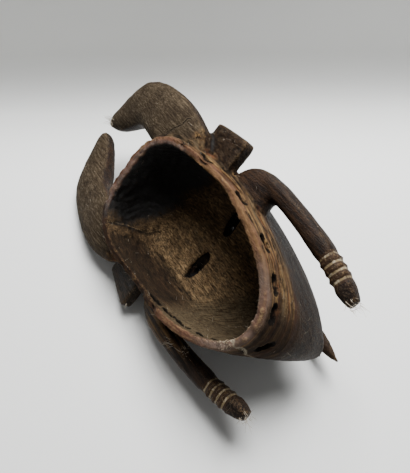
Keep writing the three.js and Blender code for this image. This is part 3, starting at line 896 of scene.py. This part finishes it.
        # Painted glints: dark brown specks in the black crust stand in for light catching it.
        soot_with_glints = self.over(c.soot_and_shade, c.raw_dark, self.step(self.grit, 0.6, 0.7))
        inner = self.over(inner, soot_with_glints, self.crust)
        return self.over(colour, self.with_ledge(inner), self.hollow)

    def with_ledge(self, inner):
        """The torn ledge in the hollow: a pale lip with a black shadow under it."""
        ledge = self.fields("ledge")[0]
        lip = self.step(self.apart(self.plus(ledge, (1.6, self.speck)), 0.8), 0.9, 0.3)
        torn = self.step(self.patch, 0.4, 0.55)
        inner = self.over(inner, self.colours.hollow_pale, lip, torn, 0.45)
        under = self.product(self.step(ledge, 0.3, 1.5), self.step(ledge, 5.0, 1.5))
        return self.over(inner, self.colours.soot_and_shade, under, 0.8)

    def with_rim(self, colour):
        """The rim, rubbed bare with dirt in its grain, darkened with painted shade on the left,
        greyer and pinkish by the chin.
        """
        c = self.colours
        bare = self.grain(
            [(0.4, self.rim_fibre), (0.25, self.grit), (0.35, self.rim_streak)],
            (0.0, c.rim_dark), (0.4, c.rim), (0.7, c.rim), (1.0, c.rim_pale))
        bare = self.over(bare, c.rim_dark, self.step(self.patch, 0.44, 0.6), 0.5)
        at_right = self.step(self.x, 10.0, 45.0)
        bare = self.over(bare, c.ochre, at_right, self.step(self.rim_figure, 0.42, 0.58), 0.4)
        # Painted shade: the rim is darkened on the left, more in some patches than in others.
        at_left = self.product(self.step(self.x, -20.0, -42.0), self.step(self.y, -78.0, -60.0))
        left_shade_share = self.plus(0.65, (0.3, self.step(self.patch, 0.62, 0.5)))
        bare = self.over(bare, c.raw_dark, at_left, left_shade_share)
        at_chin = self.step(self.plus(self.y, (10.0, self.speck)), -96.0, -126.0)
        mottled = self.plus(0.25, (0.6, self.step(self.rim_streak, 0.62, 0.42)))
        bare = self.over(bare, c.mauve, at_chin, mottled)
        colour = self.over(colour, bare, self.rim, 0.92)
        return self.over(colour, c.soot_and_shade, self.split, 0.9)

    def with_pigment(self, colour):
        """Pigment in the grooves of the legs, thin and uneven."""
        c = self.colours
        phase = self.plus(-0.1, (1.0, self.fields("groove")[0]), (0.2, self.speck))
        middle = self.add("Math", {0: phase}, operation="ROUND").outputs[0]
        ringed = self.product(
            self.step(phase, -0.45, -0.4),
            self.step(phase, GROOVE_COUNT - 0.55, GROOVE_COUNT - 0.6),
            self.leg)
        line = self.product(self.step(self.apart(phase, middle), 0.17, 0.07), ringed)
        pigment = self.over(c.chalk, c.chalk_pale, self.step(self.speck, 0.48, 0.64))
        colour = self.over(colour, c.rim_dark, ringed, 0.55)
        colour = self.over(colour, pigment, line, self.step(self.patch, 0.32, 0.46), 0.9)
        return self.over(colour, c.chalk, ringed, self.step(self.speck, 0.58, 0.68), 0.5)

    def with_marks(self, colour):
        """Edges rubbed light here and there, painted shade in the corners, cracks, lumps, flecks,
        and painted shade inside the eye slits and cord slots."""
        c = self.colours
        proud, lumps, flecks, slit = self.fields("proud", "lumps", "flecks", "slit")
        rubbed = self.product(self.step(proud, 0.05, 0.22), self.step(self.grit, 0.45, 0.6))
        colour = self.over(colour, c.rim_pale, rubbed, 0.4)
        # Painted shade: corners that sit below their neighbours are darkened towards black.
        colour = self.over(colour, c.soot_and_shade, self.step(proud, -0.02, -0.16), 0.8)
        for name, edge_colour, half_width, share in (
            ("horn_crack", c.weathered_pale, 1.7, 0.5),
            ("chin_crack", c.chalk_pale, 2.6, 0.75),
        ):
            crack = self.plus(self.fields(name)[0], (7.0, self.patch), (1.8, self.speck))
            away = self.apart(crack, 3.5)
            colour = self.over(colour, edge_colour, self.step(away, half_width, 0.7), share)
            colour = self.over(colour, c.soot_and_shade, self.step(away, 0.7, 0.3), 0.85)
        lump_colour = self.over(c.rim, c.chalk, self.step(self.grit, 0.46, 0.6))
        colour = self.over(colour, lump_colour, lumps, 0.6)
        flecks = self.product(self.step(flecks, 0.15, 0.6), self.step(self.grit, 0.56, 0.64))
        colour = self.over(colour, c.chalk_pale, flecks, 0.8)
        # Painted shade: the eye slits and cord slots are painted black, with ragged edges.
        slit_shade = self.step(self.plus(slit, (0.8, self.speck)), 0.7, 1.0)
        return self.over(colour, c.soot_and_shade, slit_shade, 0.92)

    def assembled(self):
        """The material: dry and dull where the wood is bare, with a low sheen on the patina and
        more on the crust, and raised fibres."""
        colour = self.with_marks(self.with_pigment(self.with_rim(
            self.with_hollow(self.with_raw_wood(self.patina())))))
        dry = self.largest(self.band, self.hollow, self.dry_back)
        glossy = self.product(self.crust, self.hollow)
        height = self.plus(
            self.product(self.stubble, self.hollow, 1.6), (0.8, self.grit), (0.7, self.fibre),
            (1.4, self.product(self.band, self.rim_streak)), (-1.2, self.split))
        bump = self.add("Bump", {"Height": height, "Strength": 0.9, "Distance": 0.8 * MM})
        return self.surfaced({
            "Base Color": colour,
            "Roughness": self.plus(0.4, (0.3, self.fibre), (0.3, dry), (-0.4, glossy)),
            "Specular IOR Level": self.plus(0.11, (-0.03, dry), (0.25, glossy)),
            "Normal": bump.outputs["Normal"],
            "IOR": 1.5,
        })


def torn_fibre(colours):
    """Torn ends of wood fibre: pale, dry and matt."""
    wood = Finish("torn_fibre")
    lumps = wood.pattern(wood.mask_place(), (3, 3, 3))
    tone = wood.over(colours.fibre_dark, colours.fibre_pale, lumps)
    return wood.surfaced({"Base Color": tone, "Roughness": 0.9})


# Torn fibres at the tips


def add_fibre(bm, root, way, length, thickness, bend):
    """One fibre: a three-sided strand that is drawn out, bent and narrowed to its end."""
    steps, narrowing = 4, 0.78
    turn = way.to_track_quat("Z", "Y").to_matrix().to_4x4()
    ring = bmesh.ops.create_circle(
        bm, cap_ends=True, segments=3, radius=thickness,
        matrix=Matrix.Translation(root) @ turn)["verts"]
    edges = list({e for v in ring for e in v.link_edges})
    for i in range(steps):
        drawn = bmesh.ops.extrude_edge_only(bm, edges=edges)["geom"]
        verts = [g for g in drawn if isinstance(g, bmesh.types.BMVert)]
        edges = [g for g in drawn if isinstance(g, bmesh.types.BMEdge)]
        bmesh.ops.translate(bm, verts=verts, vec=way * length / steps + bend * (i + 1) / steps)
        middle = sum((v.co for v in verts), Vector()) / len(verts)
        bmesh.ops.scale(
            bm, verts=verts, vec=(narrowing,) * 3, space=Matrix.Translation(-middle))
    bmesh.ops.holes_fill(bm, edges=edges)


def scattered(draw):
    """A vector whose parts are each drawn evenly from -1 to 1."""
    return Vector([draw.uniform(-1, 1) for _ in range(3)])


class MASK_OT_fibres(bpy.types.Operator):
    """Adds the tufts of torn wood fibre at the tips and roots, and stray fibres all over"""

    bl_idname = "mask.fibres"
    bl_label = "Add the torn fibres"

    def execute(self, context):
        sizes = context.scene.mask_carving
        draw = random.Random(7)
        bm = bmesh.new()
        for middle, way, count, reach in TUFTS:
            for _ in range(count):
                lean = (Vector(way) + scattered(draw) * TUFT_LEAN).normalized()
                root = Vector(middle) + scattered(draw) * reach / 2
                length = sizes.fibre_length * draw.uniform(0.4, 1.0)
                add_fibre(bm, root, lean, length, draw.uniform(0.12, 0.26), scattered(draw) * 0.9)
        q, normal = surface_data(bpy.data.objects["carved_mask"].data)
        for i in draw.sample(range(len(q)), sizes.stray_fibres):
            lean = Vector(normal[i]) * 0.5 + Vector((0, 0.6, 0)) + scattered(draw) * 0.5
            length = sizes.fibre_length * draw.uniform(0.2, 0.5)
            add_fibre(bm, Vector(q[i]), lean.normalized(), length, 0.09, scattered(draw) * 0.5)
        bmesh.ops.transform(bm, matrix=TO_ROW, verts=bm.verts)
        bmesh.ops.recalc_face_normals(bm, faces=bm.faces)
        mesh = bpy.data.meshes.new("torn_fibres")
        bm.to_mesh(mesh)
        bm.free()
        mesh.materials.append(torn_fibre(context.scene.mask_wood))
        finished("torn_fibres", mesh)
        return {"FINISHED"}


# Floor, lights and camera


def plain_floor(colours):
    """Pale matt laminate with hardly any sheen, that turns up into a greyer backdrop."""
    floor = Finish("pale_table")
    height = floor.add("SeparateXYZ", {0: floor.object_place()}).outputs["Z"]
    up = floor.add("MapRange", {"Value": height, "From Min": 0.001, "From Max": 0.05})
    tone = floor.over(colours.floor_colour, colours.backdrop_colour, up.outputs["Result"])
    return floor.surfaced({"Base Color": tone, "Roughness": 0.7})


def level_axes(back):
    """The level directions ahead of the camera and to its right."""
    ahead = Vector((-back.x, -back.y, 0)).normalized()
    return ahead, Vector((ahead.y, -ahead.x, 0))


def camera_axes():
    """The camera's place and its right, up and back directions in the row's frame."""
    place = TO_ROW @ Vector(CAMERA_PLACE)
    back = (place - TO_ROW @ Vector(CAMERA_AIM)).normalized()
    up = TO_ROW.to_3x3() @ Vector(CAMERA_UP)
    right = up.cross(back).normalized()
    return place, right, back.cross(right), back


class MASK_OT_stage(bpy.types.Operator):
    """Makes the pale floor and backdrop, the soft lights and the camera"""

    bl_idname = "mask.stage"
    bl_label = "Set the stage"

    def execute(self, context):
        sizes = context.scene.mask_stage
        place, right, up, back = camera_axes()
        data = bpy.data.cameras.new("camera")
        data.lens = sizes.focal_length
        data.sensor_width = SENSOR_WIDTH
        data.clip_start, data.clip_end = 0.01, 20
        camera = bpy.data.objects.new("camera", data)
        turn = Matrix((right, up, back)).transposed().to_4x4()
        camera.matrix_world = Matrix.Translation(place) @ turn
        context.scene.collection.objects.link(camera)
        context.scene.camera = camera
        self.floor(context, sizes, place, up, back)
        self.lights(context, sizes, back)
        return {"FINISHED"}

    def floor(self, context, sizes, place, up, back):
        """A floor that turns up into a low backdrop at the height in the frame where its far edge
        shows."""
        focal_pixels = sizes.focal_length / SENSOR_WIDTH * FRAME_HEIGHT
        ray = up * (FRAME_HEIGHT / 2 - FLOOR_EDGE_PIXEL) / focal_pixels - back
        edge = place + ray * (-place.z / ray.z)
        ahead, side = level_axes(back)
        half_width, near, high, bend = 3.0, 3.0, 0.16, 0.05
        bm = bmesh.new()
        start = edge - ahead * near
        ends = [bm.verts.new(start - side * half_width), bm.verts.new(start + side * half_width)]
        line = [bm.edges.new(ends)]

        def drawn_out(vec):
            """Extrudes the line by a vector, and gives the new one."""
            made = bmesh.ops.extrude_edge_only(bm, edges=line)["geom"]
            verts = [g for g in made if isinstance(g, bmesh.types.BMVert)]
            bmesh.ops.translate(bm, verts=verts, vec=vec)
            return [g for g in made if isinstance(g, bmesh.types.BMEdge)]

        line = drawn_out(ahead * (near - bend))
        made = bmesh.ops.spin(
            bm, geom=line, cent=edge - ahead * bend + Vector((0, 0, bend)), axis=side,
            angle=math.pi / 2, steps=16)["geom_last"]
        line = [g for g in made if isinstance(g, bmesh.types.BMEdge)]
        drawn_out(Vector((0, 0, high)))
        bmesh.ops.recalc_face_normals(bm, faces=bm.faces)
        mesh = bpy.data.meshes.new("table")
        bm.to_mesh(mesh)
        bm.free()
        for face in mesh.polygons:
            face.use_smooth = True
        mesh.materials.append(plain_floor(sizes))
        table = bpy.data.objects.new("table", mesh)
        context.scene.collection.objects.link(table)

    def lights(self, context, sizes, back):
        """Even light from all round, and a broad soft lamp above the mask, a little beyond it
        and to its right, that shines at the origin."""
        world = bpy.data.worlds.new("studio")
        world.use_nodes = True
        world.node_tree.nodes["Background"].inputs["Color"].default_value = (1, 1, 1, 1)
        world.node_tree.nodes["Background"].inputs["Strength"].default_value = sizes.sky
        context.scene.world = world
        data = bpy.data.lights.new("overhead", "AREA")
        data.energy = sizes.lamp_power
        data.size = sizes.lamp_size
        lamp = bpy.data.objects.new("overhead", data)
        ahead, side = level_axes(back)
        beyond, right, above = sizes.lamp_place
        spot = ahead * beyond + side * right + Vector((0, 0, above))
        turn = spot.to_track_quat("Z", "Y").to_matrix().to_4x4()
        lamp.matrix_world = Matrix.Translation(spot) @ turn
        context.scene.collection.objects.link(lamp)


class MASK_PT_panel(bpy.types.Panel):
    """Lists the mask's pieces and their sizes"""

    bl_label = "Carved face mask"
    bl_space_type = "VIEW_3D"
    bl_region_type = "UI"
    bl_category = "Mask"

    def draw(self, context):
        scene = context.scene
        for operator, groups in (
            ("mask.carve", (scene.mask_carving, scene.mask_wood)),
            ("mask.fibres", ()),
            ("mask.stage", (scene.mask_stage,)),
        ):
            self.layout.operator(operator)
            for group in groups:
                for name in group.__annotations__:
                    self.layout.prop(group, name)


CLASSES = (
    CarvingSizes, WoodColours, StageSizes,
    MASK_OT_carve, MASK_OT_fibres, MASK_OT_stage, MASK_PT_panel,
)


def register():
    for cls in CLASSES:
        bpy.utils.register_class(cls)
    bpy.types.Scene.mask_carving = PointerProperty(type=CarvingSizes)
    bpy.types.Scene.mask_wood = PointerProperty(type=WoodColours)
    bpy.types.Scene.mask_stage = PointerProperty(type=StageSizes)


def unregister():
    del bpy.types.Scene.mask_carving, bpy.types.Scene.mask_wood, bpy.types.Scene.mask_stage
    for cls in reversed(CLASSES):
        bpy.utils.unregister_class(cls)


def main():
    register()
    bpy.ops.mask.carve()
    bpy.ops.mask.fibres()
    bpy.ops.mask.stage()


if __name__ == "__main__":
    main()
